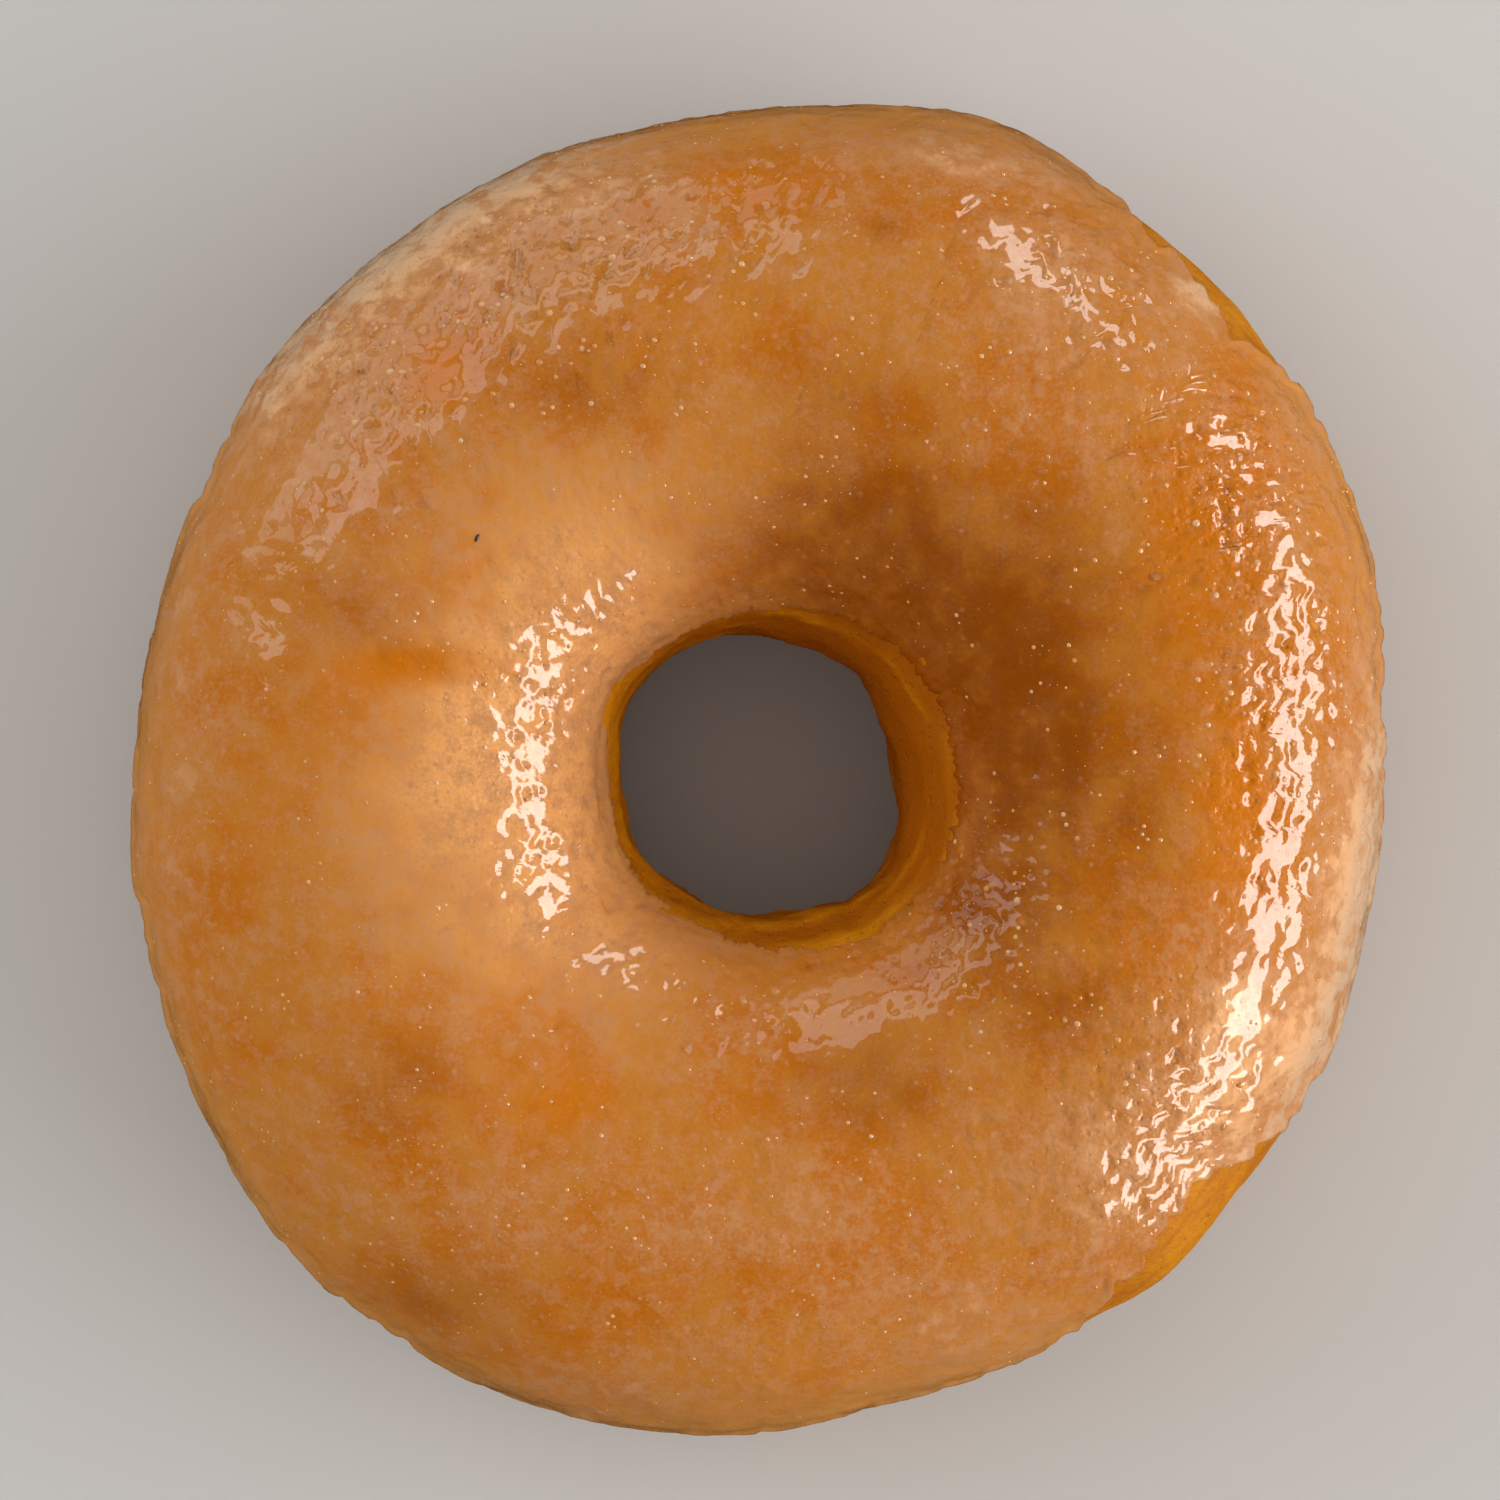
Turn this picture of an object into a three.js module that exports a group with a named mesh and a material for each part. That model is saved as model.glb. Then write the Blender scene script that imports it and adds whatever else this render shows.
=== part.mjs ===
// A glazed ring doughnut: raised dough, fried on both faces, with a thin sugar glaze over its top.
//
// Millimetres, +Z up. The ring lies flat. The origin is on the surface under it, below the middle of
// its outline. To someone who looks down on it, +X is to the right and +Y is away from them.
//
// A place on the ring has two angles. "turn" goes round the hole from +X, anticlockwise from above.
// "across" goes round the ring's own section: 0 at the outer waist, 90 at the crest, 180 at the
// waist inside the hole and 270 underneath. All angles in the tables below are in degrees.

import * as THREE from "three";

// Sizes of the whole ring.
const outerRadius = 45.5; // at the waist, on average
const holeRadius = 9.95; // where the hole is narrowest, on average
const crestHeight = 32.3; // on average
const waistHeight = 14.8; // the widest level, where the two fried faces meet
const crestRise = { towards: 58, by: 0.7 }; // one side of the ring rose higher
const crestWaves = { towards: 20, by: 0.35 };
const baseSink = 1.5; // how far the rounded base is pressed flat
const holeOffset = new THREE.Vector2(-0.1, -0.9);

// The section is a rounded square: 2 is a true ellipse, and more is squarer.
const topFullness = 2.04;
const baseFullness = 2.2;

// The outline isn't round: it is longer one way, slightly four-cornered, and knobbly where the dough
// rose or was pinched. "by" is in millimetres outwards, "spread" is how far each one reaches.
const outlineOval = { towards: 69, by: 1.65 };
const outlineCorners = { towards: 53, by: 0.5 };
const outlineKnobs = [
  { towards: 18, spread: 11, by: 0.3 },
  { towards: 70, spread: 7, by: 0.75 },
  { towards: 95, spread: 13, by: -0.55 },
  { towards: 128, spread: 8, by: -0.35 },
  { towards: 190, spread: 3, by: 0.4 },
  { towards: 228, spread: 8, by: 0.5 },
  { towards: 281, spread: 10, by: -0.75 },
  { towards: 308, spread: 7, by: 0.9 },
  { towards: 343, spread: 12, by: -0.5 },
];

const holeOval = { towards: -47, by: 0.3 };
const holeCorners = { towards: 44, by: 0.2 };
const holeKnobs = [
  { towards: 125, spread: 20, by: -0.15 },
  { towards: 184, spread: 12, by: 0.3 },
  { towards: 305, spread: 4, by: 0.25 },
];

// Shallow hollows and swells in the top and the sides, each as wide as its two spreads.
const dents = [
  { turn: 163, across: 88, turnSpread: 5, acrossSpread: 34, by: -0.55 },
  { turn: 130, across: 59, turnSpread: 3.5, acrossSpread: 9, by: -0.5 },
  { turn: 100, across: 75, turnSpread: 14, acrossSpread: 26, by: 0.35 },
  { turn: 48, across: 62, turnSpread: 12, acrossSpread: 20, by: 0.45 },
  { turn: 20, across: 96, turnSpread: 10, acrossSpread: 24, by: -0.35 },
  { turn: 222, across: 80, turnSpread: 16, acrossSpread: 30, by: 0.4 },
  { turn: 262, across: 66, turnSpread: 9, acrossSpread: 22, by: -0.35 },
  { turn: 318, across: 72, turnSpread: 12, acrossSpread: 24, by: 0.4 },
  { turn: 345, across: 108, turnSpread: 10, acrossSpread: 20, by: -0.3 },
];

// Gentle unevenness all over the dough: waves with whole counts round both ways, so they join up.
const rippleWaves = 7;
const rippleHeight = 0.22;

// The belt round the waist stayed above the oil, so it is paler and lies a little flatter.
const beltAcross = -2;
const beltSpread = 9;
const beltDepth = 0.4;

// The glaze stands this far off the dough and ends in a lip. The lip wanders: "by" is in degrees
// across, and lifts the lip towards the crest where the dough shows below it.
const glazeDepth = 0.45;
const lipWidth = 2.4;
const outerLip = 4;
const outerLipBites = [
  { towards: 9, spread: 13, by: 9 },
  { towards: 46, spread: 13, by: 22 },
  { towards: 118, spread: 16, by: -7 },
  { towards: 150, spread: 9, by: 8 },
  { towards: 196, spread: 10, by: 8 },
  { towards: 232, spread: 11, by: 12 },
  { towards: 268, spread: 12, by: 4 },
  { towards: 312, spread: 14, by: 27 },
];
const innerLip = 154;
const innerLipLean = { towards: 180, by: 12 };

// How many steps the surface is made in.
const turnSteps = 104;
const rows = { side: 12, lip: 1, outerTop: 11, innerTop: 9, hole: 9, base: 3 };

const fullTurn = 360;
const radians = THREE.MathUtils.degToRad;

// The shortest angle from one direction to another, from -180 to 180.
function angleBetween(from, to) {
  return THREE.MathUtils.euclideanModulo(to - from + 180, fullTurn) - 180;
}

// A smooth hump: 1 at its middle, and close to 0 at twice its spread.
function hump(distance, spread) {
  return Math.exp(-((distance / spread) ** 2));
}

function lobes(turn, count, lobe) {
  return lobe.by * Math.cos(count * radians(turn - lobe.towards));
}

function knobs(turn, list) {
  return list.reduce((sum, knob) => sum + knob.by * hump(angleBetween(turn, knob.towards), knob.spread), 0);
}

function outerEdge(turn) {
  const radius = outerRadius + lobes(turn, 2, outlineOval) + lobes(turn, 4, outlineCorners);
  return radius + knobs(turn, outlineKnobs);
}

function holeEdge(turn) {
  return holeRadius + lobes(turn, 2, holeOval) + lobes(turn, 4, holeCorners) + knobs(turn, holeKnobs);
}

function outerLipAt(turn) {
  return outerLip + knobs(turn, outerLipBites);
}

function innerLipAt(turn) {
  return innerLip + lobes(turn, 1, innerLipLean);
}

function ripple(turn, across) {
  let height = 0;
  for (let wave = 1; wave <= rippleWaves; wave++) {
    const phase = wave * turn + (1 + (wave % 3)) * across;
    height += Math.sin(radians(phase) + 2.4 * wave * wave) / Math.sqrt(wave);
  }
  return rippleHeight * height;
}

function dentsAt(turn, across) {
  return dents.reduce((sum, dent) => {
    const round = hump(angleBetween(turn, dent.turn), dent.turnSpread);
    return sum + dent.by * round * hump(angleBetween(across, dent.across), dent.acrossSpread);
  }, 0);
}

// How much of the glaze's depth lies at a place: 1 on the top, 0 on the bare sides.
function glazeCover(turn, across) {
  const fromOuter = angleBetween(outerLipAt(turn), across) / lipWidth;
  const fromInner = angleBetween(across, innerLipAt(turn)) / lipWidth;
  return THREE.MathUtils.clamp(Math.min(fromOuter, fromInner) + 0.5, 0, 1);
}

// How far the surface stands off the plain section. It fades out towards the flat base.
function relief(turn, across) {
  const belt = beltDepth * hump(angleBetween(across, beltAcross), beltSpread);
  const off = ripple(turn, across) + dentsAt(turn, across) - belt + glazeDepth * glazeCover(turn, across);
  const nearBase = Math.max(0, -Math.sin(radians(across)));
  return off * (1 - nearBase ** 2);
}

function roundedPower(value, fullness) {
  return Math.sign(value) * Math.abs(value) ** (2 / fullness);
}

// The point of the surface at a turn and an angle across.
function surfacePoint(turn, across) {
  const round = new THREE.Vector2(Math.cos(radians(turn)), Math.sin(radians(turn)));
  const outer = round.clone().multiplyScalar(outerEdge(turn));
  const inner = round.clone().multiplyScalar(holeEdge(turn)).add(holeOffset);
  const middle = outer.clone().add(inner).multiplyScalar(0.5);
  const half = outer.clone().sub(inner).multiplyScalar(0.5);

  const out = Math.cos(radians(across));
  const up = Math.sin(radians(across));
  const fullness = up > 0 ? topFullness : baseFullness;
  const crest = crestHeight - glazeDepth + lobes(turn, 1, crestRise) + lobes(turn, 3, crestWaves);
  const halfHeight = up > 0 ? crest - waistHeight : waistHeight + baseSink;

  const off = relief(turn, across);
  const reach = roundedPower(out, fullness) + (out * off) / half.length();
  const height = waistHeight + halfHeight * roundedPower(up, fullness) + up * off;
  const place = middle.addScaledVector(half, reach);
  return new THREE.Vector3(place.x, place.y, Math.max(0, height));
}

// The angle under the ring, from its outer waist, at which the section meets the flat base.
const baseAngle = THREE.MathUtils.radToDeg(
  Math.asin((waistHeight / (waistHeight + baseSink)) ** (baseFullness / 2)),
);

// The stretches of the section in order, each with where it starts and how many rows it has. The
// rows follow the lips, so that each lip is one clean step all the way round.
function stretches(turn) {
  const outer = outerLipAt(turn);
  const inner = innerLipAt(turn);
  return [
    { from: -baseAngle, steps: rows.side },
    { from: outer - lipWidth / 2, steps: rows.lip },
    { from: outer + lipWidth / 2, steps: rows.outerTop },
    { from: 90, steps: rows.innerTop },
    { from: inner - lipWidth / 2, steps: rows.lip },
    { from: inner + lipWidth / 2, steps: rows.hole },
    { from: 180 + baseAngle, steps: rows.base },
    { from: fullTurn - baseAngle, steps: 0 },
  ];
}

const acrossSteps = stretches(0).reduce((sum, stretch) => sum + stretch.steps, 0);

// The angle across at one row of the surface.
function acrossAt(row, turn) {
  const list = stretches(turn);
  let index = 0;
  let left = row;
  while (left > list[index].steps) {
    left -= list[index].steps;
    index += 1;
  }
  return THREE.MathUtils.lerp(list[index].from, list[index + 1].from, left / list[index].steps);
}

// A plain torus gives the net of faces, and each of its points is moved onto the doughnut.
function doughnutGeometry() {
  const geometry = new THREE.TorusGeometry(outerRadius - holeRadius, holeRadius, acrossSteps, turnSteps);
  const { position, uv } = geometry.attributes;
  for (let i = 0; i < position.count; i++) {
    const turn = fullTurn * Math.round(uv.getX(i) * turnSteps) / turnSteps;
    const row = Math.round(uv.getY(i) * acrossSteps);
    const point = surfacePoint(turn % fullTurn, acrossAt(row % acrossSteps, turn % fullTurn));
    position.setXYZ(i, point.x, point.y, point.z);
  }
  geometry.computeBoundingBox();
  const middle = geometry.boundingBox.getCenter(new THREE.Vector3());
  geometry.translate(-middle.x, -middle.y, 0);
  geometry.computeVertexNormals();
  return geometry;
}

const glazedCrust = new THREE.MeshStandardMaterial({ color: 0xc0742f, roughness: 0.28, metalness: 0 });

const doughnut = new THREE.Mesh(doughnutGeometry(), glazedCrust);
doughnut.name = "doughnut";

const part = new THREE.Group();
part.add(doughnut);

export default part;
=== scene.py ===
# A glazed ring doughnut: raised dough fried on both faces, a thin sugar glaze run over its top, the
# small bubbles that set in the glaze and two crumbs stuck in it. Metres, +Z up, in the same place as
# the solid it dresses.
#
# A place on the ring has two angles, in degrees. "turn" goes round the hole from +X, anticlockwise
# from above. "across" goes round the ring's own section: 0 at the outer waist, 90 at the crest, 180
# at the waist inside the hole and 270 underneath. Sizes in the dictionaries are in millimetres.

import math

import bmesh
import bpy
import numpy as np
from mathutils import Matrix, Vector
from mathutils.bvhtree import BVHTree


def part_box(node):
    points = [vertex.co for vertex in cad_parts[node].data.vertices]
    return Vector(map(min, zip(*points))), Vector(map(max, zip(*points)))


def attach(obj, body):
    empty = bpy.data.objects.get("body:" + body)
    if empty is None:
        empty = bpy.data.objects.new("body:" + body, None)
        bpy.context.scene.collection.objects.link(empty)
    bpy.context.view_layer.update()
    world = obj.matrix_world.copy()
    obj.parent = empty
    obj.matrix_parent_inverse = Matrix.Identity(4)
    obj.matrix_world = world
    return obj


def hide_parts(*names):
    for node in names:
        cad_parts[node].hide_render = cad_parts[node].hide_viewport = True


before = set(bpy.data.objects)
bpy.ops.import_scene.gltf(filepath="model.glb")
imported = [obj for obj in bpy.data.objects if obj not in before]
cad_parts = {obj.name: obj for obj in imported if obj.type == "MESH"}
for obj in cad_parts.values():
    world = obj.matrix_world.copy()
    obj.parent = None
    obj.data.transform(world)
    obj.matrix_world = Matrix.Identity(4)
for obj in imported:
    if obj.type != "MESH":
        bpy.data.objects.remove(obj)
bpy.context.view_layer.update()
solidLow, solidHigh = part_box("doughnut")
millimetre = 0.001
print("frame loaded, solid", [round(side, 4) for side in solidHigh - solidLow])

# Form of the ring

ring = {
    "outerRadius": 45.5,
    "holeRadius": 9.95,
    "crestHeight": 31.85,  # of the dough, under the glaze
    "waistHeight": 14.8,
    "baseSink": 1.5,  # how far the rounded base is pressed flat
    "holeOffset": (-0.1, -0.9),
    "topFullness": 2.04,  # 2 is an ellipse, more is squarer
    "baseFullness": 2.2,
    "crestRise": {"towards": 58, "by": 0.7},
    "crestWaves": {"towards": 20, "by": 0.35},
    "outlineOval": {"towards": 69, "by": 1.65},
    "outlineCorners": {"towards": 53, "by": 0.5},
    "outlineKnobs": [
        {"towards": 18, "spread": 11, "by": 0.3},
        {"towards": 70, "spread": 7, "by": 0.75},
        {"towards": 95, "spread": 13, "by": -0.55},
        {"towards": 128, "spread": 8, "by": -0.35},
        {"towards": 190, "spread": 3, "by": 0.4},
        {"towards": 228, "spread": 8, "by": 0.5},
        {"towards": 281, "spread": 10, "by": -0.75},
        {"towards": 308, "spread": 7, "by": 0.9},
        {"towards": 343, "spread": 12, "by": -0.5},
    ],
    "holeOval": {"towards": -47, "by": 0.3},
    "holeCorners": {"towards": 44, "by": 0.2},
    "holeKnobs": [
        {"towards": 125, "spread": 20, "by": -0.15},
        {"towards": 184, "spread": 12, "by": 0.3},
        {"towards": 305, "spread": 4, "by": 0.25},
    ],
    "rippleWaves": 7,
    "rippleHeight": 0.22,
    "belt": {"across": -2, "spread": 9, "by": -0.4},
    # Shallow hollows and swells: where, how far each way in degrees, and how high.
    "dents": [
        {"turn": 163, "across": 88, "turnSpread": 5, "acrossSpread": 34, "by": -0.55},
        {"turn": 130, "across": 59, "turnSpread": 3.5, "acrossSpread": 9, "by": -0.5},
        {"turn": 100, "across": 75, "turnSpread": 14, "acrossSpread": 26, "by": 0.35},
        {"turn": 48, "across": 62, "turnSpread": 12, "acrossSpread": 20, "by": 0.45},
        {"turn": 20, "across": 96, "turnSpread": 10, "acrossSpread": 24, "by": -0.35},
        {"turn": 222, "across": 80, "turnSpread": 16, "acrossSpread": 30, "by": 0.4},
        {"turn": 262, "across": 66, "turnSpread": 9, "acrossSpread": 22, "by": -0.35},
        {"turn": 318, "across": 72, "turnSpread": 12, "acrossSpread": 24, "by": 0.4},
        {"turn": 345, "across": 108, "turnSpread": 10, "acrossSpread": 20, "by": -0.3},
    ],
}

lips = {
    "outerAcross": 4,
    # The outer lip wanders up to where bare dough shows below it.
    "outerBites": [
        {"towards": 9, "spread": 13, "by": 9},
        {"towards": 46, "spread": 13, "by": 22},
        {"towards": 118, "spread": 16, "by": -7},
        {"towards": 150, "spread": 9, "by": 8},
        {"towards": 196, "spread": 10, "by": 8},
        {"towards": 232, "spread": 11, "by": 12},
        {"towards": 268, "spread": 12, "by": 4},
        {"towards": 313, "spread": 14, "by": 33},
    ],
    "innerAcross": 154,
    "innerLean": {"towards": 180, "by": 12},
    # How many tongues of each size hang round the ring, and how far they hang in degrees across.
    "tongues": ((9, 4.0), (17, 3.0), (31, 3.0), (53, 2.8), (87, 2.2)),
    "innerShare": 0.35,  # of those lengths, at the lip inside the hole
    "outerSeed": 4,
    "innerSeed": 11,
}


def angleBetween(start, end):
    return (end - start + 180) % 360 - 180


def hump(distance, spread):
    return np.exp(-((distance / spread) ** 2))


def lobes(turn, count, lobe):
    return lobe["by"] * np.cos(count * np.radians(turn - lobe["towards"]))


def knobs(turn, knobList):
    return sum(k["by"] * hump(angleBetween(turn, k["towards"]), k["spread"]) for k in knobList)


def roundedPower(value, fullness):
    return np.sign(value) * np.abs(value) ** (2 / fullness)


def scallops(turn, seed):  # rounded tongues downwards with sharper notches between them
    chance = np.random.default_rng(seed)
    edge = np.zeros_like(turn)
    for count, length in lips["tongues"]:
        wander = 0.6 * np.sin(np.radians(turn) * chance.integers(2, 6) + chance.uniform(0, math.tau))
        wave = np.abs(np.sin(np.radians(turn) * count + wander * 2 + chance.uniform(0, math.tau)))
        edge += (0.64 - wave) * length
    return edge


def outerLipAt(turn):
    return lips["outerAcross"] + knobs(turn, lips["outerBites"])


def innerLipAt(turn):
    return lips["innerAcross"] + lobes(turn, 1, lips["innerLean"])


def doughRelief(turn, across):  # how far the dough stands off the plain section
    height = np.zeros_like(turn)
    for wave in range(1, ring["rippleWaves"] + 1):
        phase = np.radians(wave * turn + (1 + wave % 3) * across) + 2.4 * wave * wave
        height += ring["rippleHeight"] * np.sin(phase) / math.sqrt(wave)
    for dent in ring["dents"]:
        along = hump(angleBetween(turn, dent["turn"]), dent["turnSpread"])
        height += dent["by"] * along * hump(angleBetween(across, dent["across"]), dent["acrossSpread"])
    belt = ring["belt"]
    height += belt["by"] * hump(angleBetween(across, belt["across"]), belt["spread"])
    return height * (1 - np.maximum(0, -np.sin(np.radians(across))) ** 2)


def ringPoints(turn, across, lift):  # lift is how far each point stands off the plain section
    outerEdge = ring["outerRadius"] + lobes(turn, 2, ring["outlineOval"])
    outerEdge += lobes(turn, 4, ring["outlineCorners"]) + knobs(turn, ring["outlineKnobs"])
    holeEdge = ring["holeRadius"] + lobes(turn, 2, ring["holeOval"])
    holeEdge += lobes(turn, 4, ring["holeCorners"]) + knobs(turn, ring["holeKnobs"])
    around = np.stack([np.cos(np.radians(turn)), np.sin(np.radians(turn))], axis=-1)
    outer = outerEdge[..., None] * around
    inner = holeEdge[..., None] * around + np.array(ring["holeOffset"])
    middle, half = (outer + inner) / 2, (outer - inner) / 2

    out, up = np.cos(np.radians(across)), np.sin(np.radians(across))
    fullness = np.where(up > 0, ring["topFullness"], ring["baseFullness"])
    crest = ring["crestHeight"] + lobes(turn, 1, ring["crestRise"]) + lobes(turn, 3, ring["crestWaves"])
    waist = ring["waistHeight"]
    halfHeight = np.where(up > 0, crest - waist, waist + ring["baseSink"])
    reach = roundedPower(out, fullness) + out * lift / np.linalg.norm(half, axis=-1)
    height = waist + halfHeight * roundedPower(up, fullness) + up * lift
    place = middle + half * reach[..., None]
    return np.concatenate([place, np.maximum(0, height)[..., None]], axis=-1)


sectionRadius = (ring["outerRadius"] - ring["holeRadius"]) / 2
degreesPerMillimetre = 180 / (math.pi * sectionRadius)
basePress = ring["waistHeight"] / (ring["waistHeight"] + ring["baseSink"])
baseAcross = math.degrees(math.asin(basePress ** (ring["baseFullness"] / 2)))


def ringMesh(name, turn, across, lift, fields):
    points = (ringPoints(turn, across, lift) + ringShift) * millimetre
    columns, rows = turn.shape
    index = np.arange(columns * rows).reshape(columns, rows)
    onward = np.roll(index, -1, axis=0)
    corners = [index, onward, np.roll(onward, -1, axis=1), np.roll(index, -1, axis=1)]
    faces = np.stack(corners, axis=-1).reshape(-1, 4)
    mesh = bpy.data.meshes.new(name)
    mesh.from_pydata(points.reshape(-1, 3).tolist(), [], faces.tolist())
    for field, values in fields.items():
        attribute = mesh.attributes.new(field, "FLOAT", "POINT")
        attribute.data.foreach_set("value", np.ascontiguousarray(values, dtype=np.float32).ravel())
    mesh.shade_smooth()
    piece = bpy.data.objects.new(name, mesh)
    bpy.context.scene.collection.objects.link(piece)
    return piece


# The plain form is centred on the solid's own box.
sampleTurn, sampleAcross = np.meshgrid(np.arange(0, 360, 1.0), np.arange(-40, 40, 2.0), indexing="ij")
sample = ringPoints(sampleTurn, sampleAcross, doughRelief(sampleTurn, sampleAcross))
sampleMiddle = (sample.reshape(-1, 3).max(axis=0) + sample.reshape(-1, 3).min(axis=0)) / 2
solidMiddle = np.array((solidLow + solidHigh) / 2) / millimetre
ringShift = (solidMiddle - sampleMiddle) * np.array([1, 1, 0])


# Node graphs, for both materials and geometry


class Flow:
    # One output of a node. Sums, products and powers of flows add their own Math nodes.

    def __init__(self, tree, socket=None):
        self.tree = tree
        self.socket = socket

    def node(self, kind, settings=None, sockets=None, out=0):
        made = self.tree.nodes.new(kind)
        for name, value in (settings or {}).items():
            setattr(made, name, value)
        for name, value in (sockets or {}).items():
            if isinstance(value, Flow):
                self.tree.links.new(value.socket, made.inputs[name])
            else:
                made.inputs[name].default_value = value
        return Flow(self.tree, made.outputs[out] if len(made.outputs) else None)

    def output(self, name):
        return Flow(self.tree, self.socket.node.outputs[name])

    def math(self, operation, *values):
        return self.node("ShaderNodeMath", {"operation": operation}, dict(enumerate(values)))

    def __add__(self, other):
        return self.math("ADD", self, other)

    def __sub__(self, other):
        return self.math("SUBTRACT", self, other)

    def __rsub__(self, other):
        return self.math("SUBTRACT", other, self)

    def __mul__(self, other):
        return self.math("MULTIPLY", self, other)

    def __truediv__(self, other):
        return self.math("DIVIDE", self, other)

    def __rtruediv__(self, other):
        return self.math("DIVIDE", other, self)

    def __pow__(self, other):
        return self.math("POWER", self, other)

    def smooth(self, low, high):  # 0 below low, 1 above high
        sockets = {"Value": self, "From Min": low, "From Max": high}
        return self.node("ShaderNodeMapRange", {"interpolation_type": "SMOOTHSTEP"}, sockets)

    def noise(self, size, detail=2.0, roughness=0.5):  # size is about one blotch, in millimetres
        sockets = {"Vector": self, "Scale": 1 / size, "Detail": detail, "Roughness": roughness}
        return self.node("ShaderNodeTexNoise", {}, sockets)

    def dots(self, spacing, smallest, largest, soft=1.0):  # one round dot of its own size in each cell
        cells = self.node("ShaderNodeTexVoronoi", {}, {"Vector": self, "Scale": 1 / spacing})
        chance = self.node("ShaderNodeSeparateColor", {}, {"Color": cells.output("Color")})
        return 1 - (cells / (chance * (largest - smallest) + smallest)).smooth(1 - soft, 1.0)

    def scaled(self, factor):  # a vector times a number
        return self.node("ShaderNodeVectorMath", {"operation": "SCALE"}, {0: self, "Scale": factor})

    def save(self, name, value):  # keeps a number at each point of a geometry
        sockets = {"Geometry": self, "Name": name, "Value": value}
        return self.node("GeometryNodeStoreNamedAttribute", {"data_type": "FLOAT"}, sockets)

    def vector(self, operation, *values, out=0):
        return self.node("ShaderNodeVectorMath", {"operation": operation}, dict(enumerate(values)), out)

    def tint(self, factor, first, second):  # colours: first where factor is 0, second where it is 1
        sockets = {0: factor, 6: first, 7: second}
        return self.node("ShaderNodeMix", {"data_type": "RGBA"}, sockets, out=2)


def treeSizes(form):  # the sizes that a tree takes as inputs: their names start with a capital
    return {label: float(value) for label, value in form.items() if label[0].isupper()}


def geometryTree(name, form):
    tree = bpy.data.node_groups.new(name, "GeometryNodeTree")
    tree.interface.new_socket("Geometry", in_out="INPUT", socket_type="NodeSocketGeometry")
    for label in treeSizes(form):
        tree.interface.new_socket(label, in_out="INPUT", socket_type="NodeSocketFloat")
    tree.interface.new_socket("Material", in_out="INPUT", socket_type="NodeSocketMaterial")
    tree.interface.new_socket("Geometry", in_out="OUTPUT", socket_type="NodeSocketGeometry")
    return tree, Flow(tree).node("NodeGroupInput")


def closeTree(geometry, material):
    plain = geometry.node("GeometryNodeRealizeInstances", {}, {"Geometry": geometry})
    dressed = plain.node("GeometryNodeSetMaterial", {}, {"Geometry": plain, "Material": material})
    dressed.node("NodeGroupOutput", {}, {"Geometry": dressed})


def growPiece(piece, tree, form, material):  # runs the tree on the piece and leaves a plain mesh
    modifier = piece.modifiers.new(tree.name, "NODES")
    modifier.node_group = tree
    inputs = [item for item in tree.interface.items_tree if item.in_out == "INPUT"]
    labels = {item.name: item.identifier for item in inputs}
    for label, value in {**treeSizes(form), "Material": material}.items():
        modifier[labels[label]] = value
    bpy.context.view_layer.update()
    graph = bpy.context.evaluated_depsgraph_get()
    grown = bpy.data.meshes.new_from_object(
        piece.evaluated_get(graph), preserve_all_data_layers=True, depsgraph=graph
    )
    piece.modifiers.remove(modifier)
    old, piece.data = piece.data, grown
    bpy.data.meshes.remove(old)
    grown.name = piece.name
    print(piece.name, "has", sum(len(face.vertices) - 2 for face in grown.polygons), "triangles")


def attribute(flow, name):  # a stored value of the surface, in a geometry tree
    return flow.node("GeometryNodeInputNamedAttribute", {"data_type": "FLOAT"}, {"Name": name})


def placeInMillimetres(flow):
    return flow.node("GeometryNodeInputPosition").scaled(1 / millimetre)


def randomNumber(flow, low, high, seed):
    sockets = {2: low, 3: high, "Seed": seed}
    return flow.node("FunctionNodeRandomValue", {"data_type": "FLOAT"}, sockets, out=1)


def scattered(flow, spacing, crowding, share, seed):  # points on the surface, never too close together
    sockets = {
        "Mesh": flow,
        "Distance Min": spacing * millimetre,
        "Density Max": crowding / (spacing * spacing) * (1 / millimetre**2),
        "Density Factor": share,
        "Seed": seed,
    }
    return flow.node("GeometryNodeDistributePointsOnFaces", {"distribute_method": "POISSON"}, sockets)


def pushedOut(geometry, lift):  # each point moved along its own normal
    offset = geometry.node("GeometryNodeInputNormal").scaled(lift)
    return geometry.node("GeometryNodeSetPosition", {}, {"Geometry": geometry, "Offset": offset})


def foldPlace(flow, place, stretch):  # a place that changes slowly along the ring and fast across it
    flat = flow.vector("MULTIPLY", place, (1 / stretch, 1 / stretch, 0.0))
    upright = flow.node("ShaderNodeCombineXYZ", {}, {"Z": attribute(flow, "acrossWay")})
    return flow.vector("ADD", flat, upright)


# Looks

doughLook = {
    "gold": (0.68, 0.255, 0.003, 1),  # bare fried dough beside the glaze
    "amber": (0.52, 0.160, 0.002, 1),
    "belt": (0.66, 0.37, 0.10, 1),
    "base": (0.33, 0.125, 0.032, 1),
    "scorch": (0.20, 0.065, 0.016, 1),
    "shade": (0.40, 0.105, 0.001, 1),  # painted shade in the hole and in the creases
    "blotchSize": 5.0,
    "fineSize": 0.9,
    "fineHeight": 0.16,
    "grainSize": 0.3,
    "grainHeight": 0.05,
    "poreSpacing": 0.8,
    "poreSizes": (0.06, 0.34),  # as shares of the spacing
    "poreDepth": 0.07,
    "roughness": (0.36, 0.61),
}


def newMaterial(name):
    material = bpy.data.materials.new(name)
    material.use_nodes = True
    material.node_tree.nodes.clear()
    return material, Flow(material.node_tree)


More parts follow.
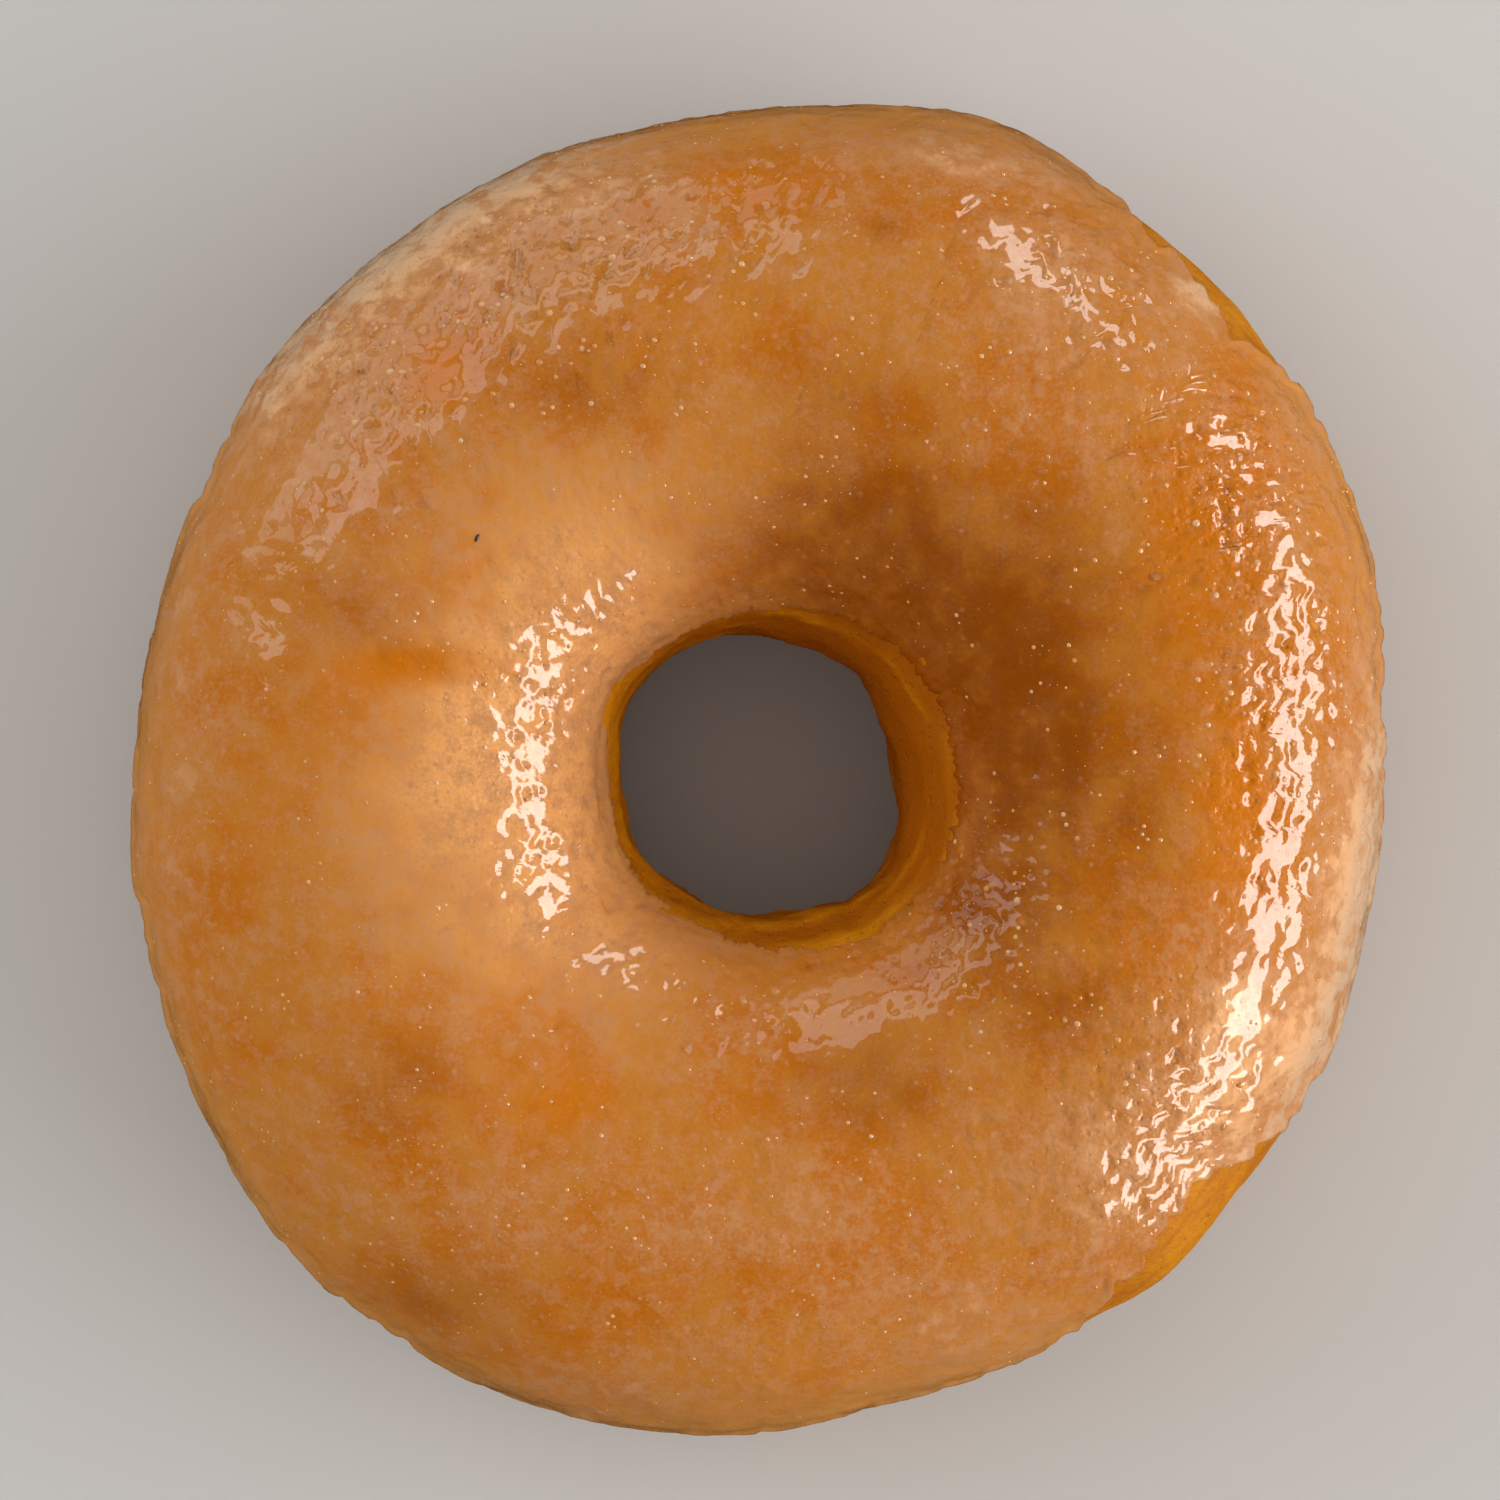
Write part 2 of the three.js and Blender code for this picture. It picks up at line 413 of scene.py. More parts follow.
def finishMaterial(flow, sockets):
    surface = flow.node("ShaderNodeBsdfPrincipled", {}, sockets)
    flow.node("ShaderNodeOutputMaterial", {}, {"Surface": surface})


def stored(flow, name):  # a stored value of the surface, in a material
    return flow.node("ShaderNodeAttribute", {"attribute_name": name}, {}, out="Fac")


def objectPlace(flow):  # the place on the piece in millimetres
    return flow.node("ShaderNodeTexCoord", {}, {}, out="Object").scaled(1 / millimetre)


def bumped(flow, height):  # a normal bent by a height in millimetres
    return flow.node("ShaderNodeBump", {}, {"Strength": 1.0, "Distance": millimetre, "Height": height})


def makeDoughMaterial():
    material, flow = newMaterial("friedDough")
    place = objectPlace(flow)
    blotch = place.noise(doughLook["blotchSize"], 4.0, 0.6)
    fine = place.noise(doughLook["fineSize"], 4.0, 0.65)
    belt = (stored(flow, "belt") + (blotch - 0.5) * 0.8).smooth(0.2, 0.9)
    under = (stored(flow, "under") + (blotch - 0.5) * 0.4).smooth(0.05, 0.8)
    toasted = (blotch * 0.6 + fine * 0.4).smooth(0.38, 0.64)
    crust = flow.tint(toasted, doughLook["gold"], doughLook["amber"])
    # Painted shade down in the hole and in the hollows of the folds.
    shaded = (stored(flow, "holeShade") + stored(flow, "crease")).smooth(0.0, 1.0)
    crust = flow.tint(shaded, crust, doughLook["shade"])
    crust = flow.tint(belt, crust, doughLook["belt"])
    scorched = (blotch * 0.7 + fine * 0.3).smooth(0.38, 0.72)
    base = flow.tint(scorched, doughLook["base"], doughLook["scorch"])
    colour = flow.tint(under, crust, base)

    pores = place.dots(doughLook["poreSpacing"], *doughLook["poreSizes"], soft=0.5)
    grain = place.noise(doughLook["grainSize"], 2.0)
    height = fine * doughLook["fineHeight"] + grain * doughLook["grainHeight"]
    height = height - pores * doughLook["poreDepth"]
    smoothest, roughest = doughLook["roughness"]
    finishMaterial(
        flow,
        {
            "Base Color": colour,
            "Roughness": fine.smooth(0.2, 0.8) * (roughest - smoothest) + smoothest,
            "Specular IOR Level": 0.12,
            "Normal": bumped(flow, height),
        },
    )
    return material


glazeLook = {
    "honey": (0.59, 0.207, 0.022, 1),  # most of the crust seen through the glaze
    "toast": (0.58, 0.162, 0.004, 1),
    # browned crust, and painted shade
    "brownAndShade": (0.30, 0.067, 0.0004, 1),
    "orange": (0.66, 0.185, 0.002, 1),
    "edge": (0.70, 0.305, 0.07, 1),  # over the paler dough of the sides and the hole
    "haze": (0.61, 0.272, 0.105, 1),  # where the sugar is full of fine bubbles
    "cream": (0.92, 0.47, 0.20, 1),  # where it is thick, and painted sheen where the lights reflect
    "white": (0.70, 0.46, 0.28, 1),  # where it is thick along the rim, and painted reflection there
    "paintedLitSide": (0.98, 0.46, 0.15, 1),  # painted light on the lit side of the hole
    "cloudSize": 1.3,
    "speckSpacing": 1.0,
    "speckSizes": (0.02, 0.36),  # as shares of the spacing
    "grainSize": 0.25,
    "laceSize": 1.9,
    "pitSpacing": 0.8,
    "pitSizes": (0.1, 0.62),
    "pitDepth": 0.08,
    "peelSize": 0.4,
    "peelDepth": 0.07,
}


def makeGlazeMaterial():
    material, flow = newMaterial("sugarGlaze")
    place = objectPlace(flow)
    cloud = place.noise(glazeLook["cloudSize"], 4.0, 0.64)
    uneven = cloud - 0.5
    toasted = (stored(flow, "toast") + uneven * 0.5).smooth(0.0, 1.0)
    colour = flow.tint(toasted, glazeLook["honey"], glazeLook["toast"])
    # Painted light on the side of the hole that faces the lights.
    paintedLitSide = stored(flow, "paintedLitSide") * (cloud * 1.2 + 0.55 - stored(flow, "toast") * 0.3)
    colour = flow.tint(paintedLitSide.smooth(0.0, 1.0), colour, glazeLook["paintedLitSide"])
    for markName in ("orange", "brownAndShade", "edge"):
        amount = (stored(flow, markName) * (cloud * 0.9 + 0.55)).smooth(0.0, 1.0)
        colour = flow.tint(amount, colour, glazeLook[markName])

    wisps = cloud.smooth(0.42, 0.64)
    specks = place.dots(glazeLook["speckSpacing"], *glazeLook["speckSizes"])
    grain = place.noise(glazeLook["grainSize"], 2.0) - 0.5
    milkySheen = stored(flow, "milkAndSheen")
    clear = stored(flow, "brownAndShade") * 0.75 + stored(flow, "orange") * 0.5
    clear = 1 - clear.math("MINIMUM", clear, 0.9)
    hazy = (milkySheen * 0.6 + wisps * 0.33 + specks * 0.6 + grain * 0.8 + 0.08) * clear
    colour = flow.tint(hazy.smooth(0.0, 0.9), colour, glazeLook["haze"])
    # The milk is thick sugar and also painted reflection; the lace gaps break it up like a reflection
    # on a bubbly film.
    gaps = (1 - place.noise(glazeLook["laceSize"], 3.0).smooth(0.44, 0.54)) * milkySheen.smooth(0.5, 1.1)
    creamAndSheen = (milkySheen * (wisps * 0.22 + 0.81) - 0.42 - gaps * 0.34) * clear
    thickSugarAndSheen = flow.tint(stored(flow, "edge").smooth(0.1, 0.7), glazeLook["cream"], glazeLook["white"])
    colour = flow.tint(creamAndSheen.smooth(0.0, 0.8), colour, thickSugarAndSheen)

    pits = place.dots(glazeLook["pitSpacing"], *glazeLook["pitSizes"]) * glazeLook["pitDepth"]
    peel = place.noise(glazeLook["peelSize"], 1.0) * glazeLook["peelDepth"]
    height = (peel - pits) * stored(flow, "foam")
    finishMaterial(
        flow,
        {
            "Base Color": colour,
            "Roughness": wisps * 0.12 + 0.24,
            "Specular IOR Level": 0.06,
            "Coat Weight": 0.8 - stored(flow, "edge") * 0.2,
            "Coat Roughness": 0.02,
            "Normal": bumped(flow, height),
        },
    )
    return material


bubbleLook = {
    "clear": (0.68, 0.29, 0.08, 1),
    "white": (0.80, 0.46, 0.22, 1),
    "patchSize": 1.6,  # of those that are alike
}


def makeBubbleMaterial():
    material, flow = newMaterial("sugarBubbles")
    whiter = objectPlace(flow).noise(bubbleLook["patchSize"], 1.0).smooth(0.35, 0.65)
    colour = flow.tint(whiter, bubbleLook["clear"], bubbleLook["white"])
    finishMaterial(flow, {"Base Color": colour, "Roughness": 0.05, "IOR": 1.6})
    return material


doughMaterial = makeDoughMaterial()
glazeMaterial = makeGlazeMaterial()
bubbleMaterial = makeBubbleMaterial()

# Dough

doughForm = {
    "columns": 380,
    "sideRows": 46,  # from the flat base to the outer lip
    "topRows": 30,  # hidden under the glaze
    "holeRows": 34,
    "baseRows": 26,
    "Fold height": 0.32,
    "Fold size": 1.7,
    "Lump height": 0.5,
    "Lump size": 4.5,
    "Grain height": 0.12,
    "Grain size": 0.7,
    "foldStretch": 5.0,  # how much longer a fold is than wide
    "hiddenUnder": 8,  # degrees that the densely made sides reach under each lip
}


def buildDough():
    turnLine = np.arange(doughForm["columns"]) * 360 / doughForm["columns"]
    outer = outerLipAt(turnLine) + doughForm["hiddenUnder"]
    inner = innerLipAt(turnLine) - doughForm["hiddenUnder"]
    sideStart = np.full_like(turnLine, -baseAcross)
    baseStart = np.full_like(turnLine, 180 + baseAcross)
    stretches = [
        (sideStart, outer, doughForm["sideRows"]),
        (outer, inner, doughForm["topRows"]),
        (inner, baseStart, doughForm["holeRows"]),
        (baseStart, sideStart + 360, doughForm["baseRows"]),
    ]
    rows = [np.linspace(start, end, count, endpoint=False).T for start, end, count in stretches]
    across = np.concatenate(rows, axis=1)
    turn = np.broadcast_to(turnLine[:, None], across.shape)
    underneath = np.maximum(0, -np.sin(np.radians(across)))
    # The pale belt wanders a little round the outside, and a fainter one runs inside the hole.
    beltMiddle = -9 + 2.5 * np.sin(np.radians(2 * turn + 40)) + 1.5 * np.sin(np.radians(5 * turn))
    beltSpread = 8.5 + 1.5 * np.sin(np.radians(3 * turn + 100))
    holeBelt = 0.5 * hump(angleBetween(across, 192), 9)
    fields = {
        "belt": hump(angleBetween(across, beltMiddle), beltSpread) + holeBelt,
        # painted shade low in the hole, darkest on the side turned from the light
        "holeShade": hump(angleBetween(across, 168), 36) * (0.62 + 0.6 * np.cos(np.radians(turn - 30))),
        "under": underneath,
        # Rougher inside the hole, and not at all on the flat base.
        "rough": (1 - underneath**3) * (1 + 1.6 * hump(angleBetween(across, 180), 28)),
        "acrossWay": across / degreesPerMillimetre,
    }
    return ringMesh("dough", turn, across, doughRelief(turn, across), fields)


def buildDoughTree():
    tree, start = geometryTree("doughSkin", doughForm)
    place = placeInMillimetres(start)
    fold = foldPlace(start, place, doughForm["foldStretch"]).noise(start.output("Fold size"), 2.0)
    lump = place.noise(start.output("Lump size"), 1.0)
    grain = place.noise(start.output("Grain size"), 3.0)
    lift = (fold - 0.55) * start.output("Fold height") + (lump - 0.5) * start.output("Lump height")
    lift = lift + (grain - 0.5) * start.output("Grain height")
    # The hollows of the folds keep a painted shade.
    creased = start.save("crease", (0.5 - fold) * 3.0)
    moved = pushedOut(creased, lift * attribute(start, "rough") * millimetre)
    floorSafe = moved.vector("MAXIMUM", moved.node("GeometryNodeInputPosition"), (-1.0, -1.0, 0.0))
    moved = moved.node("GeometryNodeSetPosition", {}, {"Geometry": moved, "Position": floorSafe})
    closeTree(moved, start.output("Material"))
    return tree


dough = buildDough()
growPiece(dough, buildDoughTree(), doughForm, doughMaterial)

# Glaze

glazeForm = {
    "columns": 640,
    "edgeRows": 6,  # over each rounded lip
    "topRows": 122,
    "undersideRows": 8,  # hidden in the dough
    "depth": 0.45,
    "edgeWidth": 0.8,
    "gather": {"at": 1.1, "spread": 0.7, "by": 0.16},  # the sugar stands higher along each lip
    "innerThinning": {"spread": 12, "by": 0.85},  # the film fades out into the hole
    "buried": 0.35,
    # The paler dough of the sides shows from these places across.
    "outerSide": {"across": 2, "spread": 30},
    "innerSide": {"across": 172, "spread": 26},
    "leastFoam": 0.45,
    "foldStretch": 7.0,
    "broadSize": 9.0,  # of the toasted places, and of the browned and painted-shade places
    "blotchSize": 2.6,
    "cloudSize": 5.0,  # of the milky clouds
    "Wave height": 0.5,
    "Wave size": 5.0,
    "Peel height": 0.38,
    "Peel size": 1.2,
    "Fold height": 0.35,
    "Fold size": 1.5,
    "Wide spacing": 1.9,
    "Wide radius": 0.85,
    "Wide depth": 0.24,
    "Small spacing": 1.05,
    "Small radius": 0.6,
    "Small depth": 0.15,
    "craterRim": {"at": 1.05, "spread": 0.22, "by": 0.22},  # in radii and depths of its crater
    "craterGaps": 6.0,
    "wideSeed": 5,
    "smallSeed": 17,
}

# Where the glaze set full of bubbles: x and y from above, how far they reach, and how strongly.
foamPlaces = [
    {"x": 37.0, "y": 3.0, "reach": (7.0, 17.0), "by": 1.2},
    {"x": 33.0, "y": 18.0, "reach": (8.0, 8.0), "by": 1.4},
    {"x": 29.0, "y": -23.0, "reach": (10.0, 10.0), "by": 1.2},
    {"x": 20.0, "y": 34.0, "reach": (9.0, 7.0), "by": 0.8},
    {"x": -15.5, "y": 3.0, "reach": (5.5, 12.0), "by": 0.8},
    {"x": -17.0, "y": 35.0, "reach": (15.0, 8.0), "by": 1.5},
    {"x": -28.0, "y": 28.0, "reach": (8.0, 8.0), "by": 1.4},
    {"x": 17.0, "y": -10.0, "reach": (9.0, 7.0), "by": 0.8},
    {"x": -33.0, "y": 18.0, "reach": (5.0, 8.0), "by": 0.4},
]

# Where the glaze set in deeper creases, along the rim and round the hole.
creasedPlaces = [
    {"x": 37.0, "y": 24.0, "reach": (8.0, 13.0), "by": 2.2},
    {"x": -27.0, "y": -33.0, "reach": (12.0, 9.0), "by": 1.0},
    {"x": 2.0, "y": 44.0, "reach": (12.0, 4.0), "by": 1.0},
    {"x": 0.0, "y": 0.0, "reach": (15.0, 15.0), "by": 1.6},
]

# Painted shade on the side of the hole turned away from the lights, and painted light on its lit
# side. Along two stretches of the rim the sugar set thick, with a painted reflection of the lights on
# it.
innerPaintedShade = {"turn": 30, "turnSpread": 68, "across": 134, "acrossSpread": 34, "by": 1.0}
innerPaintedLight = {"turn": 172, "turnSpread": 62, "across": 140, "acrossSpread": 46, "by": 1.2}
rimMilkAndSheen = (
    {"turn": 129, "turnSpread": 25, "across": 28, "acrossSpread": 17, "by": 0.95},
    {"turn": 344, "turnSpread": 26, "across": 26, "acrossSpread": 14, "by": 0.6},
)

# Places that browned more or carry painted shade, and places that shine orange through thin glaze:
# x and y from above, how far they reach each way, and how strongly.
brownAndShadePlaces = [
    # Four of these are painted shade on slopes turned from the light: (5.6, 18), (19.5, 1.5), (21, 13)
    # and (5, 26).
    {"x": 5.6, "y": 18.0, "reach": (8.0, 4.5), "by": 0.2},
    {"x": 19.5, "y": 1.5, "reach": (4.5, 8.0), "by": 0.3},
    {"x": -24.7, "y": -21.3, "reach": (6.0, 4.6), "by": 0.4},
    {"x": 7.5, "y": -22.0, "reach": (5.5, 4.0), "by": 0.5},
    {"x": 15.5, "y": -10.0, "reach": (6.0, 5.0), "by": 0.35},
    {"x": 21.2, "y": -16.5, "reach": (6.0, 4.0), "by": 0.4},
    {"x": -27.0, "y": 11.0, "reach": (6.0, 4.5), "by": 0.35},
    {"x": -12.0, "y": 26.0, "reach": (7.0, 4.0), "by": 0.35},
    {"x": 8.2, "y": 37.3, "reach": (2.2, 1.5), "by": 0.4},
    {"x": 21.0, "y": 13.0, "reach": (8.0, 7.0), "by": 0.3},
    {"x": 0.0, "y": -45.0, "reach": (12.0, 2.6), "by": 0.35},
    {"x": 5.0, "y": 26.0, "reach": (7.0, 5.0), "by": 0.25},
    {"x": 26.0, "y": -2.0, "reach": (4.0, 9.0), "by": 0.3},
    {"x": -20.0, "y": -9.0, "reach": (8.0, 4.0), "by": 0.25},
    {"x": -23.3, "y": -37.0, "reach": (8.0, 4.0), "by": 0.5},
]
orangePlaces = [
    {"x": -22.6, "y": 27.0, "reach": (2.8, 2.8), "by": 0.9},
    {"x": -24.0, "y": 7.2, "reach": (6.5, 1.8), "by": 1.0},
    {"x": -13.7, "y": -22.6, "reach": (5.0, 3.0), "by": 0.7},
    {"x": 28.7, "y": 14.4, "reach": (3.2, 6.5), "by": 0.6},
    {"x": 33.0, "y": -3.0, "reach": (3.0, 8.0), "by": 0.8},
    {"x": -2.0, "y": 40.5, "reach": (6.0, 2.0), "by": 0.6},
    {"x": -8.0, "y": 31.0, "reach": (6.0, 3.0), "by": 0.4},
    {"x": 36.0, "y": 18.0, "reach": (2.0, 7.0), "by": 0.4},
    {"x": -35.0, "y": -3.0, "reach": (4.0, 8.0), "by": 0.4},
]

# Where the sugar set thick and milky. At the upper left and along the right and lower right rim
# this is also a painted reflection of the lights.
milkAndSheenPlaces = [
    {"x": -21.9, "y": 36.3, "reach": (11.0, 6.0), "by": 0.35},
    {"x": -13.4, "y": 40.5, "reach": (9.0, 3.5), "by": 0.5},
    {"x": -40.5, "y": 4.0, "reach": (3.5, 16.0), "by": 0.35},
    {"x": -30.0, "y": 24.0, "reach": (7.0, 8.0), "by": 0.25},
    {"x": -18.0, "y": 23.0, "reach": (6.0, 4.0), "by": 0.3},
    {"x": 19.4, "y": 34.2, "reach": (7.0, 5.0), "by": 0.45},
    {"x": 16.0, "y": 42.0, "reach": (9.0, 3.0), "by": 0.6},
    {"x": 28.9, "y": 33.1, "reach": (5.0, 5.0), "by": 0.5},
    {"x": 31.0, "y": 33.3, "reach": (2.8, 1.8), "by": 1.2},
    {"x": 37.0, "y": 22.0, "reach": (3.0, 8.0), "by": 0.4},
    {"x": 42.0, "y": -9.0, "reach": (3.5, 14.0), "by": 0.75},
    {"x": 21.1, "y": 27.5, "reach": (6.0, 6.0), "by": 0.35},
    {"x": 37.4, "y": -19.8, "reach": (6.0, 8.0), "by": 0.8},
    {"x": 33.0, "y": -19.5, "reach": (5.0, 8.0), "by": 1.0},
    {"x": 27.5, "y": -28.0, "reach": (10.0, 7.0), "by": 0.65},
    {"x": 31.0, "y": -26.0, "reach": (7.0, 7.0), "by": 0.9},
    {"x": 12.0, "y": -37.5, "reach": (9.0, 4.0), "by": 0.45},
    {"x": -9.2, "y": -43.6, "reach": (8.0, 2.5), "by": 0.35},
    {"x": -18.0, "y": -30.0, "reach": (7.0, 5.0), "by": 0.25},
    {"x": 1.0, "y": -30.0, "reach": (9.0, 5.0), "by": 0.3},
]


def stained(points, places):
    amount = np.zeros(points.shape[:-1])
    for spot in places:
        away = (points[..., 0] - spot["x"]) ** 2 / spot["reach"][0] ** 2
        away += (points[..., 1] - spot["y"]) ** 2 / spot["reach"][1] ** 2
        amount = np.maximum(amount, spot["by"] * np.exp(-away))
    return amount


def alongSide(turn, beyond, side):  # weaker away from its own turn, and beyond its place across
    towards = hump(angleBetween(turn, side["turn"]), side["turnSpread"])
    return side["by"] * towards * hump(np.maximum(0, beyond), side["acrossSpread"])


def buildGlaze():
    turnLine = np.arange(glazeForm["columns"]) * 360 / glazeForm["columns"]
    outer = outerLipAt(turnLine) + scallops(turnLine, lips["outerSeed"])
    inner = innerLipAt(turnLine) - lips["innerShare"] * scallops(turnLine, lips["innerSeed"])
    edge = glazeForm["edgeWidth"] * degreesPerMillimetre
    rounding = 1 - np.cos(np.linspace(0, math.pi / 2, glazeForm["edgeRows"], endpoint=False))
    share = np.linspace(0, 1, glazeForm["topRows"])
    top = (outer + edge)[:, None] + (inner - outer - 2 * edge)[:, None] * share
    outerRows = outer[:, None] + edge * rounding
    innerRows = inner[:, None] - edge * rounding[::-1]
    skin = np.concatenate([outerRows, top, innerRows], axis=1)
    hiddenShare = np.linspace(0, 1, glazeForm["undersideRows"] + 2)[1:-1]
    hidden = inner[:, None] + (outer - inner)[:, None] * hiddenShare
    across = np.concatenate([skin, hidden], axis=1)
    turn = np.broadcast_to(turnLine[:, None], across.shape)
    isSkin = np.arange(across.shape[1]) < skin.shape[1]

    fromLip = np.minimum(across - outer[:, None], inner[:, None] - across) / degreesPerMillimetre
    rounded = np.sqrt(np.clip(1 - (1 - fromLip / glazeForm["edgeWidth"]).clip(0, 1) ** 2, 0, 1))
    gather = glazeForm["gather"]
    film = glazeForm["depth"] + gather["by"] * hump(fromLip - gather["at"], gather["spread"])
    thinning = glazeForm["innerThinning"]
    film = film * (1 - thinning["by"] * hump(across - inner[:, None], thinning["spread"]))
    lift = np.where(isSkin, rounded * (film + glazeForm["buried"]), 0) - glazeForm["buried"]
    lift += doughRelief(turn, across)

    points = ringPoints(turn, across, lift) + ringShift
    paintedShade = alongSide(turn, innerPaintedShade["across"] - across, innerPaintedShade)
    paintedLight = alongSide(turn, innerPaintedLight["across"] - across, innerPaintedLight)
    rim = sum(alongSide(turn, across - side["across"], side) for side in rimMilkAndSheen)
    outerSide, innerSide = glazeForm["outerSide"], glazeForm["innerSide"]
    sides = hump(np.maximum(0, innerSide["across"] - across), innerSide["spread"])
    sides = sides * (1 - np.clip(paintedShade, 0, 1))
    sides += hump(np.maximum(0, across - outerSide["across"]), outerSide["spread"])
    sides = np.clip(sides, 0, 1)
    foamy = glazeForm["leastFoam"] + stained(points, foamPlaces)
    fields = {
        "film": np.where(isSkin, np.clip(rounded * 1.2 - 0.2, 0, 1), 0),
        "edge": sides,
        "brownAndShade": stained(points, brownAndShadePlaces) + paintedShade,
        "orange": stained(points, orangePlaces),
        "milkAndSheen": stained(points, milkAndSheenPlaces) + paintedLight * 0.3 + rim,
        "paintedLitSide": paintedLight,
        "foam": foamy * (1 - 0.65 * sides),
        "creased": 0.5 + stained(points, creasedPlaces),
        "acrossWay": across / degreesPerMillimetre,
    }
    return ringMesh("glaze", turn, across, lift, fields)


def craters(start, place, kind, seed):  # round hollows with a faint rim, each a bubble that burst
    spacing, radius = start.output(kind + " spacing"), start.output(kind + " radius")
    gaps = place.noise(glazeForm["craterGaps"], 1.0).smooth(0.25, 0.55) * attribute(start, "film")
    points = scattered(start, spacing, 4.0, gaps, seed)
    nearest = start.node("GeometryNodeSampleNearest", {"domain": "POINT"}, {"Geometry": points})
    chance = randomNumber(start, 0.35, 1.0, seed + 1)
    sampled = {"Geometry": points, "Value": chance, "Index": nearest}
    size = start.node("GeometryNodeSampleIndex", {"data_type": "FLOAT"}, sampled)
    position = start.node("GeometryNodeInputPosition")
    sampled = {"Geometry": points, "Value": position, "Index": nearest}
    middle = start.node("GeometryNodeSampleIndex", {"data_type": "FLOAT_VECTOR"}, sampled)
    away = start.vector("DISTANCE", position, middle, out="Value") / (radius * size * millimetre)
    bowl = (1 - away.math("MINIMUM", away, 1.0) ** 2) ** 2
    rim = glazeForm["craterRim"]
    ridge = away.math("EXPONENT", ((away - rim["at"]) / rim["spread"]) ** 2 * -1)
    return (ridge * rim["by"] - bowl) * size * start.output(kind + " depth")


def buildGlazeTree():
    tree, start = geometryTree("glazeSkin", glazeForm)
    place = placeInMillimetres(start)
    foam = attribute(start, "foam")
    wave = place.noise(start.output("Wave size"), 1.0)
    peel = place.noise(start.output("Peel size"), 2.0)
    fold = foldPlace(start, place, glazeForm["foldStretch"]).noise(start.output("Fold size"), 2.0)
    creases = attribute(start, "edge") * attribute(start, "creased")
    wide = craters(start, place, "Wide", glazeForm["wideSeed"])
    small = craters(start, place, "Small", glazeForm["smallSeed"])
    lift = (wave - 0.5) * start.output("Wave height") + (wide + small) * foam
    lift = lift + (peel - 0.5) * start.output("Peel height") * (foam + 0.1)
    lift = lift + (fold - 0.5) * start.output("Fold height") * creases
    lift = lift * attribute(start, "film") * millimetre

    broad = place.noise(glazeForm["broadSize"], 3.0, 0.55)
    blotch = place.noise(glazeForm["blotchSize"], 3.0, 0.6)
    cloudy = place.noise(glazeForm["cloudSize"], 3.0, 0.6).smooth(0.42, 0.62)
    dressed = start.save("toast", (broad * 0.62 + blotch * 0.38).smooth(0.43, 0.58))
    for markName in ("brownAndShade", "orange"):
        dressed = dressed.save(markName, attribute(start, markName) * (broad * 1.3 + blotch * 1.1 - 0.2))
    dressed = dressed.save("milkAndSheen", attribute(start, "milkAndSheen") * (blotch * 0.6 + 0.7) + cloudy * 0.3)
    closeTree(pushedOut(dressed, lift), start.output("Material"))
    return tree


glaze = buildGlaze()
growPiece(glaze, buildGlazeTree(), glazeForm, glazeMaterial)

# Bubbles that stand up in the glaze

beadForm = {
    "Spacing": 0.5,
    "Smallest": 0.05,
    "Largest": 0.23,
    "Sunk": 0.66,  # how much of each one's radius is under the surface
    "sides": 7,
    "rings": 4,
    "clusterSize": 3.0,
    "placeSeed": 31,
    "sizeSeed": 8,
}


def buildBeadTree():
    tree, start = geometryTree("glazeBubbles", beadForm)
    place = placeInMillimetres(start)
    foam = attribute(start, "foam")
    clusters = place.noise(beadForm["clusterSize"], 2.0).smooth(0.43, 0.63)
    share = clusters * (foam.smooth(0.5, 2.0) * 0.5 + 0.4) + foam.smooth(0.4, 1.6) * 0.12
    share = attribute(start, "film").smooth(0.9, 1.0) * share
    points = scattered(start, start.output("Spacing"), 2.0, share, beadForm["placeSeed"])
    chance = randomNumber(start, 0.0, 1.0, beadForm["sizeSeed"])
    smallest, largest = start.output("Smallest"), start.output("Largest")
    size = (smallest + (largest - smallest) * chance**3.0) * (foam * 0.7 + 0.65) * millimetre
    counts = {"Segments": beadForm["sides"], "Rings": beadForm["rings"]}
    ball = start.node("GeometryNodeMeshUVSphere", {}, {**counts, "Radius": 1.0})
    sunk = start.node("ShaderNodeCombineXYZ", {}, {"Z": start.output("Sunk") * -1})
    ball = ball.node("GeometryNodeSetPosition", {}, {"Geometry": ball, "Offset": sunk})
    smoothBall = ball.node("GeometryNodeSetShadeSmooth", {}, {"Geometry": ball})
    upright = points.output("Rotation")
    placed = {"Points": points, "Instance": smoothBall, "Rotation": upright, "Scale": size}
    closeTree(start.node("GeometryNodeInstanceOnPoints", {}, placed), start.output("Material"))
    return tree


beads = bpy.data.objects.new("glazeBeads", glaze.data.copy())
bpy.context.scene.collection.objects.link(beads)
growPiece(beads, buildBeadTree(), beadForm, bubbleMaterial)

# Two loose crumbs that stuck in the glaze

crumbs = [
    {"x": 27.0, "y": 13.2, "size": (0.42, 0.34, 0.26), "dark": 0.0},
    {"x": -19.4, "y": 15.9, "size": (0.30, 0.12, 0.12), "dark": 1.0},
]
crumbForm = {
    "dropHeight": 60,  # each one falls straight down onto the glaze
    "unevenness": (0.8, 1.2),
    "seed": 7,
}
crumbLook = {
    "amber": (0.50, 0.17, 0.02, 1),
    "burnt": (0.035, 0.012, 0.004, 1),
    "speckleSize": 0.2,
}


def makeCrumbMaterial():
    material, flow = newMaterial("friedCrumb")
    speckle = objectPlace(flow).noise(crumbLook["speckleSize"], 2.0)
    darkness = (stored(flow, "dark") + (speckle - 0.5) * 0.5).smooth(0.0, 1.0)
    colour = flow.tint(darkness, crumbLook["amber"], crumbLook["burnt"])
    finishMaterial(flow, {"Base Color": colour, "Roughness": speckle * 0.3 + 0.3})
    return material


